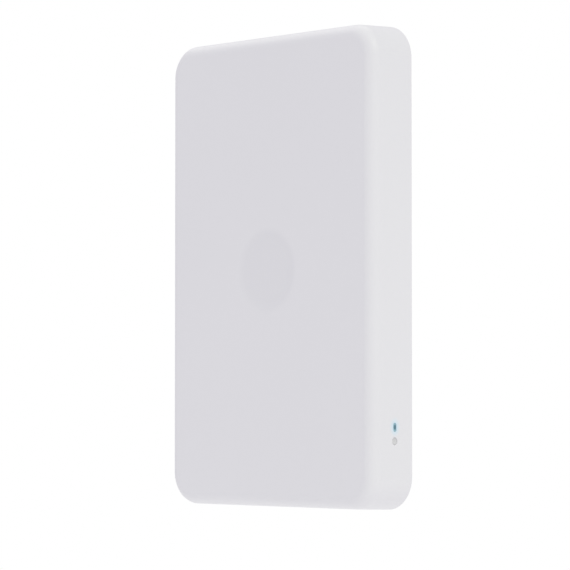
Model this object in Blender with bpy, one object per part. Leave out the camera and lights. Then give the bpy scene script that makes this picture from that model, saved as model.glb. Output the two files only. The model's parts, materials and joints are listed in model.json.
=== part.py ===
"""Wall-mounted Wi-Fi access point, an upright slab with rounded corners.

The unit hangs on four hooks of a steel wall bracket. A deep front cover holds the board, the
heat spreader, the antennas and the network jack, and a rear cover with a port recess closes it.

Lengths in this file are millimetres, and MM turns them into Blender's metres.
X runs right as seen from the front, Y points into the wall, and Z is up.
The origin is on the wall surface, at the middle of the bracket.
"""

import math

import bmesh
import bpy
from mathutils import Matrix, Vector

MM = 0.001

# Outer body, measured at its rear rim
BODY_W = 130.0
BODY_H = 200.0
BODY_DEPTH = 22.2
CORNER_R = 14.0
FRONT_EDGE_R = 5.0
SIDE_TAPER = 0.0256  # inset of the side walls for each millimetre forward of the rim
RIM_Y = -0.6
FRONT_Y = RIM_Y - BODY_DEPTH
WALL = 2.0
RIM_WALL = 1.4  # thinner beside the rear cover, which leaves a ledge for it
LEDGE_Y = -3.2
INNER_FRONT_Y = FRONT_Y + WALL
EMBLEM_R = 18.0  # plain round dish in the middle of the front
EMBLEM_DEPTH = 0.25
FIT = 0.15  # between pieces that are pushed together
STACK = 0.1  # between pieces that lie on each other
SHANK_R = 1.0  # screw shank
HEAD_R = 2.6  # screw head
CLEAR_R = 1.35  # screw clearance hole
BOSS_R = 3.0
SCREW_TOP_Y = -4.4  # rear end of the housing screw bosses

# Wall bracket
BRACKET_W = 88.0
BRACKET_H = 150.0
SHEET = 1.5
WINDOW_W = 38.0  # cable window
WINDOW_Z = (-38.0, -6.0)
HOOK_W = 8.0
HOOK_X = 37.0
HOOK_Z = (50.0, -46.0)  # top of each hook's leg
HOOK_RISE = 5.0
HOOK_FOOT_Y = -4.0
HOOKS = tuple((x, z) for z in HOOK_Z for x in (-HOOK_X, HOOK_X))
RIVET_R = 1.25
SCREW_SLOT_W = 4.0
GANG_PITCH = 83.3  # screw distance of a single-gang wall box
ROUND_BOX_PITCH = 60.0  # screw distance of a round wall box
BOX_CENTRE_Z = -20.0
ANCHORS = ((-34.0, 66.0), (34.0, 66.0), (-34.0, -66.0), (34.0, -66.0))
LATCH_X = 22.0
LATCH_W = 8.0
RIVET_Z = (-61.0, -68.0)
CATCH_Z = -82.0

# Rear cover
COVER_Y = -0.9
COVER_T = 2.0
POCKET_Y = -1.9
POCKET_INNER_Y = -3.7
HOOK_ROOM_Y = POCKET_INNER_Y - 2.1  # depth of the room behind the pocket for the hooks
HOOK_TRAVEL = 8.0
POCKET_Z = (-BRACKET_H / 2 - HOOK_TRAVEL - 1.0, BRACKET_H / 2 + 1.0)
RECESS_W = 38.0
RECESS_Z = (-54.0, -4.0)
RECESS_Y = -17.8
RECESS_WALL = 1.4
CHANNEL_W = 15.0
CHANNEL_Y = -9.0
HOUSING_SCREWS = ((-54.0, 87.0), (54.0, 87.0), (-54.0, -87.0), (54.0, -87.0))
PADS = ((-54.0, 74.0), (54.0, 74.0), (-54.0, -74.0), (54.0, -74.0))

VENT_SIZE = (2.2, 8.0)
VENT_PITCH = 7.0
VENT_COUNT = 12
VENT_Z = (86.0, -91.0)

# Board and what it carries
BOARD_W = 116.0
BOARD_H = 160.0
BOARD_REAR_Y = -11.0
BOARD_T = 1.6
BOARD_FRONT_Y = BOARD_REAR_Y - BOARD_T
BOARD_SCREWS = ((-50.0, 70.0), (50.0, 70.0), (-46.0, -70.0), (46.0, -70.0))
SPREADER_Y = (-8.4, -7.1)
SPREADER_W = 108.0
SPREADER_Z = (0.0, 76.0)
CAN_H = 1.9
SHIELD_CANS = {
    "processor": (0.0, 50.0, 36.0, 34.0),
    "radio_low": (-34.0, 48.0, 26.0, 30.0),
    "radio_mid": (34.0, 48.0, 26.0, 30.0),
    "radio_high": (-28.0, 14.0, 30.0, 24.0),
}
JACK_W = 16.0
JACK_Y = (-17.55, -4.25)
JACK_Z = (-4.0, 17.3)

# Side indicator and reset key
SIDE_AXIS_Y = -10.3
LED_Z = -65.9
LED_SIZE = (1.4, 3.3)
RESET_Z = -71.6
RESET_R = 1.4
STEM_R = 0.6  # slim enough to pass behind the board's edge
NOSE_SIZE = (0.7, 1.8)  # reset switch's actuator in Y and Z

MATERIALS = {
    "white_shell": ((0.80, 0.80, 0.82), 0.45, 0.0),
    "rear_plastic": ((0.74, 0.74, 0.76), 0.55, 0.0),
    "key_plastic": ((0.62, 0.62, 0.64), 0.50, 0.0),
    "zinc_steel": ((0.55, 0.56, 0.57), 0.38, 1.0),
    "spring_steel": ((0.62, 0.62, 0.60), 0.25, 1.0),
    "screw_steel": ((0.35, 0.35, 0.36), 0.30, 1.0),
    "cast_aluminium": ((0.66, 0.67, 0.68), 0.45, 1.0),
    "tin_plate": ((0.72, 0.72, 0.70), 0.28, 1.0),
    "gold_plate": ((0.85, 0.62, 0.25), 0.25, 1.0),
    "board_green": ((0.02, 0.13, 0.08), 0.40, 0.0),
    "black_plastic": ((0.03, 0.03, 0.03), 0.50, 0.0),
    "chip_black": ((0.02, 0.02, 0.022), 0.35, 0.0),
    "thermal_pad": ((0.45, 0.55, 0.68), 0.85, 0.0),
    "rubber": ((0.06, 0.06, 0.065), 0.80, 0.0),
    "cable_black": ((0.03, 0.03, 0.03), 0.45, 0.0),
    "label_film": ((0.86, 0.86, 0.85), 0.55, 0.0),
    "indicator_blue": ((0.02, 0.22, 0.85), 0.20, 0.0),
}


def clear_scene():
    for old in list(bpy.data.objects):
        bpy.data.objects.remove(old)


def material(name):
    found = bpy.data.materials.get(name)
    if found:
        return found
    colour, roughness, metallic = MATERIALS[name]
    made = bpy.data.materials.new(name)
    made.use_nodes = True
    shader = made.node_tree.nodes["Principled BSDF"]
    shader.inputs["Base Color"].default_value = (*colour, 1.0)
    shader.inputs["Roughness"].default_value = roughness
    shader.inputs["Metallic"].default_value = metallic
    return made


def group(name, parent=None, at=(0, 0, 0)):
    """An empty that carries the pieces of one body. at is in its parent's frame."""
    empty = bpy.data.objects.new(name, None)
    bpy.context.scene.collection.objects.link(empty)
    empty.parent = parent
    empty.location = Vector(at) * MM
    return empty


def add(name, mesh_of, look, parent, at=(0, 0, 0)):
    """Turns a bmesh into a named object. at is the place of its origin under its parent."""
    bmesh.ops.recalc_face_normals(mesh_of, faces=mesh_of.faces)
    bmesh.ops.scale(mesh_of, vec=(MM, MM, MM), verts=mesh_of.verts)
    mesh = bpy.data.meshes.new(name)
    mesh_of.to_mesh(mesh)
    mesh_of.free()
    shade(mesh)
    if look:
        mesh.materials.append(material(look))
    made = bpy.data.objects.new(name, mesh)
    bpy.context.scene.collection.objects.link(made)
    made.parent = parent
    made.location = Vector(at) * MM
    return made


def shade(mesh):
    """Smooth on round stretches, and flat on the many-sided caps and cut faces."""
    mesh.shade_smooth()
    mesh.set_sharp_from_angle(angle=math.radians(30))
    for face in mesh.polygons:
        if len(face.vertices) > 4:
            face.use_smooth = False


def combine(target, mesh_of, operation):
    """Joins a bmesh to the target, or cuts it away, with a Boolean. Both use the target's own frame."""
    tool = add(f"{target.name}_tool", mesh_of, None, target.parent, target.location / MM)
    tool.hide_render = True
    tool.display_type = "WIRE"
    step = target.modifiers.new(operation.lower(), "BOOLEAN")
    step.operation = operation
    step.object = tool
    step.use_self = True


def join(target, mesh_of):
    combine(target, mesh_of, "UNION")


def cut(target, mesh_of):
    combine(target, mesh_of, "DIFFERENCE")


def apply_booleans():
    """Gives each object the mesh that its Booleans make, shades it, and removes the tools."""
    graph = bpy.context.evaluated_depsgraph_get()
    shaped = [obj for obj in bpy.data.objects if obj.modifiers]
    meshes = [bpy.data.meshes.new_from_object(obj.evaluated_get(graph)) for obj in shaped]
    for obj, mesh in zip(shaped, meshes):
        for step in obj.modifiers:
            bpy.data.objects.remove(step.object)
        obj.modifiers.clear()
        obj.data = mesh
        shade(mesh)


def outline(width, height, radius, steps=8):
    """The corners of a rounded rectangle in X and Z, as (x, z) pairs."""
    centres = ((1, 1), (-1, 1), (-1, -1), (1, -1))
    points = []
    for quarter, (side_x, side_z) in enumerate(centres):
        for step in range(steps + 1):
            angle = math.radians(90 * (quarter + step / steps))
            x = side_x * (width / 2 - radius) + radius * math.cos(angle)
            z = side_z * (height / 2 - radius) + radius * math.sin(angle)
            points.append((x, z))
    return points


def loft(loops, mesh_of=None):
    """A closed skin through loops of equally many points, with a flat cap at each end."""
    mesh_of = mesh_of or bmesh.new()
    rings = [[mesh_of.verts.new(point) for point in loop] for loop in loops]
    for near, far in zip(rings, rings[1:]):
        for i in range(len(near)):
            j = (i + 1) % len(near)
            mesh_of.faces.new((near[i], near[j], far[j], far[i]))
    mesh_of.faces.new(rings[0])
    mesh_of.faces.new(reversed(rings[-1]))
    return mesh_of


def slab(width, height, radius, y_near, y_far, centre=(0.0, 0.0), steps=6, mesh_of=None):
    """A plate with rounded corners, square to Y."""
    shape = outline(width, height, radius, steps)
    cx, cz = centre
    return loft([[(cx + x, y, cz + z) for x, z in shape] for y in (y_near, y_far)], mesh_of)


def block(low, high, mesh_of=None):
    """A plain box between two corners."""
    mesh_of = mesh_of or bmesh.new()
    low, high = Vector(low), Vector(high)
    place = Matrix.Translation((low + high) / 2) @ Matrix.Diagonal((*(high - low), 1))
    bmesh.ops.create_cube(mesh_of, size=1, matrix=place)
    return mesh_of


def rod(start, end, radius, segments=20, tip_radius=None, mesh_of=None):
    """A round bar from start to end, which tapers if tip_radius is given."""
    mesh_of = mesh_of or bmesh.new()
    start, end = Vector(start), Vector(end)
    turn = (end - start).to_track_quat("Z", "Y").to_matrix().to_4x4()
    bmesh.ops.create_cone(
        mesh_of,
        cap_ends=True,
        segments=segments,
        radius1=radius,
        radius2=radius if tip_radius is None else tip_radius,
        depth=(end - start).length,
        matrix=Matrix.Translation((start + end) / 2) @ turn,
    )
    return mesh_of


def turned(profile, segments=16):
    """A solid turned about Y from (radius, y) pairs, closed by a flat cap at each end."""
    loops = []
    for radius, y in profile:
        angles = [2 * math.pi * i / segments for i in range(segments)]
        loops.append([(radius * math.cos(a), y, radius * math.sin(a)) for a in angles])
    return loft(loops)


def body_loop(y, inset):
    """The body's rounded outline at depth y, moved in by inset, following the side taper."""
    total = inset + SIDE_TAPER * (RIM_Y - y)
    radius = max(CORNER_R - total, 0.6)
    shape = outline(BODY_W - 2 * total, BODY_H - 2 * total, radius, steps=8)
    return [(x, y, z) for x, z in shape]


def edge_round(front_y, inset, radius, steps):
    """Loops of a rounded edge, from the flat of the front to the side wall."""
    loops = []
    for step in range(steps + 1):
        angle = math.radians(90 * step / steps)
        y = front_y + radius * (1 - math.cos(angle))
        loops.append(body_loop(y, inset + radius * (1 - math.sin(angle))))
    return loops


def side_x(y, inset=0.0):
    """The X of the right side wall at depth y."""
    return BODY_W / 2 - inset - SIDE_TAPER * (RIM_Y - y)


def build_front_cover(unit):
    outer = edge_round(FRONT_Y, 0.0, FRONT_EDGE_R, steps=6)
    rim = [
        body_loop(RIM_Y - 0.4, 0.0),
        body_loop(RIM_Y, 0.4),
        body_loop(RIM_Y, RIM_WALL),
        body_loop(LEDGE_Y, RIM_WALL),
        body_loop(LEDGE_Y, WALL),
    ]
    inner = edge_round(INNER_FRONT_Y, WALL, FRONT_EDGE_R - WALL, steps=3)
    cover = add("front_cover", loft(outer + rim + inner[::-1]), "white_shell", unit)
    bosses = bmesh.new()
    for x, z in HOUSING_SCREWS:
        rod((x, INNER_FRONT_Y - 0.6, z), (x, SCREW_TOP_Y, z), BOSS_R, 12, mesh_of=bosses)
    for x, z in BOARD_SCREWS:
        rod((x, INNER_FRONT_Y - 0.6, z), (x, BOARD_FRONT_Y - 0.3, z), BOSS_R, 12, mesh_of=bosses)
    join(cover, bosses)
    holes = bmesh.new()
    for x, z in HOUSING_SCREWS:
        rod((x, -15.0, z), (x, SCREW_TOP_Y + 1.0, z), SHANK_R + FIT, 10, mesh_of=holes)
    for x, z in BOARD_SCREWS:
        rod((x, INNER_FRONT_Y + 0.8, z), (x, -11.0, z), SHANK_R + FIT, 10, mesh_of=holes)
    rod((0, FRONT_Y - 1.0, 0), (0, FRONT_Y + EMBLEM_DEPTH, 0), EMBLEM_R, 40, mesh_of=holes)
    cut(cover, holes)
    openings = bmesh.new()
    side_pill(*(size + 2 * FIT for size in LED_SIZE), 60.0, 67.0, openings)
    rod((60.0, SIDE_AXIS_Y, RESET_Z), (67.0, SIDE_AXIS_Y, RESET_Z), RESET_R + FIT, 20, mesh_of=openings)
    block((-7.0, -8.6, -102.0), (7.0, 1.0, -96.0), openings)
    block((LATCH_X - 5.0, -3.4, -102.0), (LATCH_X + 5.0, 1.0, -96.0), openings)
    cut(cover, openings)
    return cover


def side_pill(width, height, x_near, x_far, mesh_of=None):
    """A bar along X at the indicator, with the round-ended cross-section of its lens."""
    shape = outline(width, height, width / 2 - 0.001, steps=5)
    rings = [[(x, SIDE_AXIS_Y + y, LED_Z + z) for y, z in shape] for x in (x_near, x_far)]
    return loft(rings, mesh_of)


def hook_window(x, top, mesh_of):
    """The space that a hook needs in the unit, from its seat down to where it lets go."""
    half = HOOK_W / 2 + 0.5
    low = top - HOOK_TRAVEL - 1.7
    block((x - half, HOOK_ROOM_Y, low), (x + half, 1.0, top + 0.2), mesh_of)


def build_rear_cover(unit):
    cover = add(
        "rear_cover",
        loft([body_loop(COVER_Y, RIM_WALL + 0.25), body_loop(COVER_Y - COVER_T, RIM_WALL + 0.25)]),
        "rear_plastic",
        unit,
    )
    low, high = POCKET_Z
    middle = (0.0, (low + high) / 2)
    join(cover, slab(BRACKET_W + 8, high - low + 4, 11.0, -2.0, POCKET_INNER_Y, middle))
    half_recess = RECESS_W / 2
    wells = block(
        (-half_recess - RECESS_WALL, RECESS_Y - RECESS_WALL, RECESS_Z[0] - RECESS_WALL),
        (half_recess + RECESS_WALL, -2.0, RECESS_Z[1] + RECESS_WALL),
    )
    join(cover, wells)
    half_channel = CHANNEL_W / 2
    join(cover, block(
        (-half_channel - RECESS_WALL, CHANNEL_Y - 1.2, -97.4),
        (half_channel + RECESS_WALL, -2.0, RECESS_Z[0]),
    ))
    inner = bmesh.new()
    for x, z in HOOKS:
        foot, head = z - HOOK_TRAVEL - 2.9, z + HOOK_RISE + 2.0
        block((x - 5.7, HOOK_ROOM_Y - 1.0, foot), (x + 5.7, -3.0, head), inner)
    for x, z in HOUSING_SCREWS:
        rod((x, -4.1, z), (x, -2.0, z), 4.2, 20, mesh_of=inner)
    block((LATCH_X - 7.0, -4.4, -97.4), (LATCH_X + 7.0, -2.0, -50.0), inner)
    join(cover, inner)
    cut(cover, slab(BRACKET_W + 4, high - low, 9.0, 1.0, POCKET_Y, middle))
    cut(cover, block((-half_recess, RECESS_Y, RECESS_Z[0]), (half_recess, 1.0, RECESS_Z[1])))
    cut(cover, block((-half_channel, CHANNEL_Y, -99.0), (half_channel, 1.0, RECESS_Z[0] + 1.0)))
    half_jack = JACK_W / 2 + 0.25
    windows = block((-half_jack, RECESS_Y + 0.05, -5.0), (half_jack, -4.0, 0.0))
    for x, z in HOOKS:
        hook_window(x, z, windows)
    cut(cover, windows)
    behind = bmesh.new()
    for x, z in HOOKS:
        foot, head = z - HOOK_TRAVEL - 1.7, z + HOOK_RISE + 0.8
        block((x - 4.5, HOOK_ROOM_Y, foot), (x + 4.5, POCKET_INNER_Y, head), behind)
    cut(cover, behind)
    cut(cover, block((LATCH_X - 5.5, -3.0, -99.0), (LATCH_X + 5.5, 1.0, -52.0)))
    small = bmesh.new()
    block((LATCH_X - 5.0, -6.0, CATCH_Z - 3.0), (LATCH_X + 5.0, -2.0, CATCH_Z + 3.0), small)
    for x, z in HOUSING_SCREWS:
        rod((x, -2.5, z), (x, 1.0, z), 3.1, 20, mesh_of=small)
        rod((x, -6.0, z), (x, -2.4, z), CLEAR_R, 12, mesh_of=small)
    for x, z in PADS:
        rod((x, -1.5, z), (x, 1.0, z), 4.2, 20, mesh_of=small)
    cut(cover, small)
    cut(cover, vents())
    return cover


def vents():
    """Cooling slots, in a full row at the top and beside the cable channel at the bottom."""
    slots = bmesh.new()
    top, bottom = VENT_Z
    for i in range(VENT_COUNT):
        x = VENT_PITCH * (i - (VENT_COUNT - 1) / 2)
        slab(*VENT_SIZE, 1.0, -4.0, 1.0, (x, top), 2, slots)
        if x < -12.0 or x > 32.0:
            slab(*VENT_SIZE, 1.0, -4.0, 1.0, (x, bottom), 2, slots)
    return slots


def build_housing_screws(unit):
    for number, (x, z) in enumerate(HOUSING_SCREWS, 1):
        seat = -2.4
        profile = screw_profile(-12.6, seat, seat + 1.3)
        screw = add(f"housing_screw_{number}", turned(profile), "screw_steel", unit, (x, 0, z))
        cut(screw, cross_recess(seat + 0.5))


def screw_profile(tip, seat, top):
    """Half the outline of a pan-head screw along Y, as (radius, y) pairs."""
    return (
        (0.4, tip), (SHANK_R, tip + 1.0), (SHANK_R, seat),
        (HEAD_R, seat), (HEAD_R, seat + 0.8), (HEAD_R - 0.7, top),
    )


def cross_recess(bottom_y):
    """The driver recess of a screw head that faces +Y."""
    cross = block((-0.35, bottom_y, -1.3), (0.35, 1.0, 1.3))
    return block((-1.3, bottom_y + 0.01, -0.36), (1.3, 1.01, 0.36), cross)


def build_pads(unit):
    for number, (x, z) in enumerate(PADS, 1):
        profile = ((3.9, -1.4), (4.0, -1.3), (4.0, -0.45), (3.7, -0.25))
        add(f"rubber_pad_{number}", turned(profile, 24), "rubber", unit, (x, 0, z))


def build_label(unit):
    film = slab(30.0, 26.0, 1.5, RECESS_Y + STACK, RECESS_Y + STACK + 0.15, (0.0, -34.0), 4)
    add("rating_label", film, "label_film", unit)


def build_board(unit):
    board = add(
        "main_board",
        slab(BOARD_W, BOARD_H, 3.0, BOARD_REAR_Y, BOARD_FRONT_Y, steps=4),
        "board_green",
        unit,
    )
    half_recess = RECESS_W / 2 + 2.5
    cut(board, block(
        (-half_recess, -14.0, RECESS_Z[0] - 2.5),
        (half_recess, -10.0, RECESS_Z[1] + 2.5),
    ))
    half_jack = JACK_W / 2 + 0.6
    holes = block((-half_jack, -14.0, RECESS_Z[1]), (half_jack, -10.0, JACK_Z[1] + 0.7))
    for x, z in BOARD_SCREWS:
        rod((x, -14.0, z), (x, -10.0, z), 1.5, 12, mesh_of=holes)
    cut(board, holes)


def build_board_screws(unit):
    for number, (x, z) in enumerate(BOARD_SCREWS, 1):
        seat = SPREADER_Y[1] + STACK if z > 0 else BOARD_REAR_Y + STACK
        profile = screw_profile(INNER_FRONT_Y + 1.4, seat, seat + 1.4)
        screw = add(f"board_screw_{number}", turned(profile), "screw_steel", unit, (x, 0, z))
        cut(screw, cross_recess(seat + 0.6))


def build_spreader(unit):
    low, high = SPREADER_Z
    plate = slab(
        SPREADER_W, high - low, 4.0, SPREADER_Y[0], SPREADER_Y[1], (0.0, (low + high) / 2), 4
    )
    spreader = add("heat_spreader", plate, "cast_aluminium", unit)
    feet = bmesh.new()
    for x in (-50.0, 50.0):
        for z in (70.0, 6.0):
            rod((x, BOARD_REAR_Y + STACK, z), (x, SPREADER_Y[0] + 0.5, z), 3.4, 16, mesh_of=feet)
    join(spreader, feet)
    ribs = bmesh.new()
    for i in range(9):
        z = 16.0 + 5.0 * i
        block((-28.0, SPREADER_Y[1] - 0.2, z), (28.0, SPREADER_Y[1] + 1.6, z + 1.2), ribs)
    join(spreader, ribs)
    holes = block((-10.5, -10.0, low - 1.0), (10.5, -4.0, 21.0))
    for x, z in BOARD_SCREWS[:2]:
        rod((x, -12.0, z), (x, -4.0, z), CLEAR_R, 12, mesh_of=holes)
    cut(spreader, holes)


def build_shielding(unit):
    """Each radio and the processor: a chip, the tin can over it and the pad to the spreader."""
    top = BOARD_REAR_Y + CAN_H
    for name, (x, z, width, height) in SHIELD_CANS.items():
        can = add(
            f"shield_can_{name}",
            slab(width, height, 1.0, BOARD_REAR_Y + STACK, top, (x, z), 2),
            "tin_plate",
            unit,
        )
        room = slab(width - 0.8, height - 0.8, 0.6, BOARD_REAR_Y - 1.0, top - 0.4, (x, z), 2)
        cut(can, room)
        pad = slab(width - 8, height - 8, 1.0, top + STACK, SPREADER_Y[0] - STACK, (x, z), 2)
        add(f"thermal_pad_{name}", pad, "thermal_pad", unit)
        half = 0.22 * min(width, height) + 1.5
        chip = block((x - half, BOARD_REAR_Y + STACK, z - half), (x + half, top - 0.6, z + half))
        add(f"chip_{name}", chip, "chip_black", unit)


def build_jack(unit):
    """Shielded eight-way network jack: a sheet shell, its plastic insert and the contact comb."""
    half = JACK_W / 2
    (y_front, y_rear), (mouth, back) = JACK_Y, JACK_Z
    skin = 0.4
    shield = add(
        "rj45_shield",
        block((-half, y_front, mouth), (half, y_rear, back)),
        "tin_plate",
        unit,
    )
    tabs = bmesh.new()
    for side in (-1, 1):
        inner, outer = sorted((side * (half - 0.2), side * (half + 2.6)))
        block((inner, BOARD_REAR_Y + STACK, 3.0), (outer, BOARD_REAR_Y + 0.5, 9.0), tabs)
    join(shield, tabs)
    cut(shield, block(
        (-half + skin, y_front + skin, mouth - 1.0),
        (half - skin, y_rear - skin, back - skin),
    ))
    gap = skin + STACK
    insert = add(
        "rj45_insert",
        block((-half + gap, y_front + gap, mouth + 0.3), (half - gap, y_rear - gap, back - gap)),
        "black_plastic",
        unit,
    )
    plug_low, plug_high = y_front + 1.9, y_front + 1.9 + 7.4
    deep = mouth + 14.5
    socket = block((-5.95, plug_low, mouth - 1.0), (5.95, plug_high, deep))
    block((-3.2, plug_high - 0.01, mouth - 1.01), (3.2, plug_high + 1.7, deep - 0.3), socket)
    cut(insert, socket)
    cut(insert, block((-3.9, plug_high - 1.0, mouth - 1.0), (3.9, plug_high + 0.8, mouth + 4.0)))
    comb = block((-5.0, plug_low + 0.1, deep - 2.4), (5.0, plug_low + 1.2, deep - 0.1))
    contacts = add("rj45_contacts", comb, "gold_plate", unit)
    wires = bmesh.new()
    for i in range(8):
        x = 1.02 * (i - 3.5)
        slope = [
            (x, plug_low + 1.05, deep - 2.0),
            (x, plug_low + 2.0, deep - 8.0),
            (x, plug_low + 0.35, deep - 10.6),
        ]
        for start, end in zip(slope, slope[1:]):
            strip(start, end, 0.45, 0.3, wires)
    join(contacts, wires)


def strip(start, end, width, thickness, mesh_of):
    """A flat bar between two points in a plane of constant X, its ends run on by half its thickness."""
    start, end = Vector(start), Vector(end)
    along = (end - start).normalized()
    middle = (start + end) / 2
    length = (end - start).length + thickness
    turn = along.to_track_quat("Z", "X").to_matrix().to_4x4()
    size = Matrix.Diagonal((width, thickness, length, 1))
    across = turn @ Vector((0, 1, 0, 0))
    if abs(across.x) > 0.5:
        size = Matrix.Diagonal((thickness, width, length, 1))
    bmesh.ops.create_cube(mesh_of, size=1, matrix=Matrix.Translation(middle) @ turn @ size)


def build_power_parts(unit):
    """The tall parts of the supply, on the front side of the board."""
    seat = BOARD_FRONT_Y - STACK
    transformer = add(
        "poe_transformer",
        block((29.0, seat - 7.0, -20.0), (47.0, seat, -4.0)),
        "black_plastic",
        unit,
    )
    waist = block((28.0, seat - 5.6, -17.5), (31.5, seat - 1.4, -6.5))
    cut(transformer, block((44.5, seat - 5.6, -17.5), (48.0, seat - 1.4, -6.5), waist))
    magnetics = slab(15.0, 17.0, 0.8, seat, seat - 5.4, (19.5, 8.0), 2)
    add("lan_magnetics", magnetics, "chip_black", unit)
    for number, z in enumerate((-33.0, -45.0), 1):
        profile = (
            (4.3, seat), (4.3, seat - 0.9), (4.0, seat - 1.2), (3.7, seat - 1.5),
            (4.0, seat - 1.8), (4.0, seat - 6.4), (3.6, seat - 6.7),
        )
        add(f"bulk_capacitor_{number}", turned(profile), "cast_aluminium", unit, (38.0, 0, z))
    inductor = slab(10.0, 10.0, 1.6, seat, seat - 4.2, (-38.0, -20.0), 3)
    add("power_inductor", inductor, "chip_black", unit)


def build_board_antennas(unit):
    """Folded sheet antennas on the board, two along its top edge and two along its bottom."""
    seat, reach = BOARD_FRONT_Y - STACK, 6.9
    places = {"top_left": (-24, 72, 26), "top_right": (24, 72, 20),
              "bottom_left": (-20, -70, 26), "bottom_right": (16, -70, 20)}
    for name, (x, z, length) in places.items():
        half = length / 2
        plate = block((-half, seat - reach, -3.5), (half, seat - reach + 0.4, 3.5))
        antenna = add(f"antenna_{name}", plate, "tin_plate", unit, (x, 0, z))
        legs = block((-half, seat - reach + 0.1, -3.5), (-half + 0.4, seat, 2.0))
        block((-half + 5.0, seat - reach + 0.1, -3.5), (-half + 7.0, seat, -3.1), legs)
        block((half - 0.4, seat - reach + 0.1, -3.4), (half, seat - reach + 3.0, 3.4), legs)
        block((-half + 1.0, seat - 0.4, -3.4), (-half - 1.5, seat, 1.9), legs)
        join(antenna, legs)
        cut(antenna, block((-half + 4.0, seat - 8.0, 0.2), (half - 4.0, seat - 5.0, 1.2)))


def build_cabled_antennas(unit):
    """Two flat antenna strips on the inside of the front, each with its coaxial lead to the board."""
    for name, side in (("left", -1), ("right", 1)):
        x = side * 46.0
        face = INNER_FRONT_Y + STACK
        film = slab(11.0, 42.0, 1.5, face, face + 0.8, (x, 32.0), 3)
        add(f"antenna_strip_{name}", film, "board_green", unit)
        plug_x, plug_z = side * 30.0, 20.0
        profile = ((1.3, BOARD_FRONT_Y - STACK), (1.3, -13.9), (1.0, -14.1))
        add(f"coax_plug_{name}", turned(profile, 16), "gold_plate", unit, (plug_x, 0, plug_z))
        route = [
            (x, face + 1.5, 14.5), (x - side * 0.5, face + 1.7, 8.0),
            (x - side * 3.0, face + 2.6, 2.2), (x - side * 8.0, face + 4.0, 0.6),
            (x - side * 13.0, face + 5.0, 4.0), (x - side * 15.5, face + 5.6, 10.0),
            (plug_x, face + 6.0, 17.8),
        ]
        coax(f"coax_lead_{name}", route, 0.55, unit)


def smooth_route(points, per_span=5):
    """A Catmull-Rom curve through the points."""
    ends = [points[0] + (points[0] - points[1])], [points[-1] + (points[-1] - points[-2])]
    knots = ends[0] + points + ends[1]
    route = []
    for a, b, c, d in zip(knots, knots[1:], knots[2:], knots[3:]):
        for step in range(per_span):
            t = step / per_span
            route.append(0.5 * (
                2 * b + (c - a) * t + (2 * a - 5 * b + 4 * c - d) * t**2
                + (3 * b - a - 3 * c + d) * t**3
            ))
    return route + [points[-1]]


def coax(name, route, radius, parent):
    curve = bpy.data.curves.new(name, "CURVE")
    curve.dimensions = "3D"
    curve.bevel_depth = radius * MM
    curve.bevel_resolution = 2
    curve.use_fill_caps = True
    points = smooth_route([Vector(p) for p in route])
    spline = curve.splines.new("POLY")
    spline.points.add(len(points) - 1)
    for place, point in zip(spline.points, points):
        place.co = (*(point * MM), 1.0)
    curve.materials.append(material("cable_black"))
    lead = bpy.data.objects.new(name, curve)
    bpy.context.scene.collection.objects.link(lead)
    lead.parent = parent


def build_indicator(unit):
    seat = BOARD_REAR_Y + STACK
    emitter = block((55.4, seat, LED_Z - 1.6), (57.6, seat + 2.0, LED_Z + 1.6))
    add("status_led", emitter, "indicator_blue", unit)
    outer = side_x(SIDE_AXIS_Y)
    pipe = add("light_pipe", side_pill(*LED_SIZE, 58.2, outer - 0.02), "indicator_blue", unit)
    join(pipe, side_pill(2.6, 4.5, 60.6, side_x(SIDE_AXIS_Y, WALL) - FIT))


def build_reset(unit, key):
    """The reset key and, behind it on the board, the small switch that it pushes."""
    seat = BOARD_REAR_Y + STACK
    switch = add(
        "reset_switch",
        block((53.2, seat, RESET_Z - 2.3), (57.2, seat + 2.4, RESET_Z + 2.3)),
        "black_plastic",
        unit,
    )
    deep, tall = (size / 2 for size in NOSE_SIZE)
    cut(switch, block(
        (55.6, SIDE_AXIS_Y - deep - FIT, RESET_Z - tall - FIT),
        (58.0, SIDE_AXIS_Y + deep + FIT, RESET_Z + tall + FIT),
    ))
    origin = key.location / MM
    nose = block(
        (56.4, SIDE_AXIS_Y - deep, RESET_Z - tall),
        (58.4, SIDE_AXIS_Y + deep, RESET_Z + tall),
    )
    bmesh.ops.translate(nose, vec=-origin, verts=nose.verts)
    add("reset_switch_actuator", nose, "key_plastic", key)
    inner, outer = side_x(SIDE_AXIS_Y, WALL), side_x(SIDE_AXIS_Y)
    stem = rod((58.5, 0, 0), (inner - 1.3, 0, 0), STEM_R, 16)
    bmesh.ops.translate(stem, vec=(-origin.x, 0, 0), verts=stem.verts)
    button = add("reset_button", stem, "key_plastic", key)
    flange = rod((inner - 1.4, 0, 0), (inner - 0.3, 0, 0), 2.2, 20)
    bmesh.ops.translate(flange, vec=(-origin.x, 0, 0), verts=flange.verts)
    join(button, flange)
    head = rod((inner - 0.5, 0, 0), (outer - 0.3, 0, 0), RESET_R, 20)
    bmesh.ops.translate(head, vec=(-origin.x, 0, 0), verts=head.verts)
    join(button, head)


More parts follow.
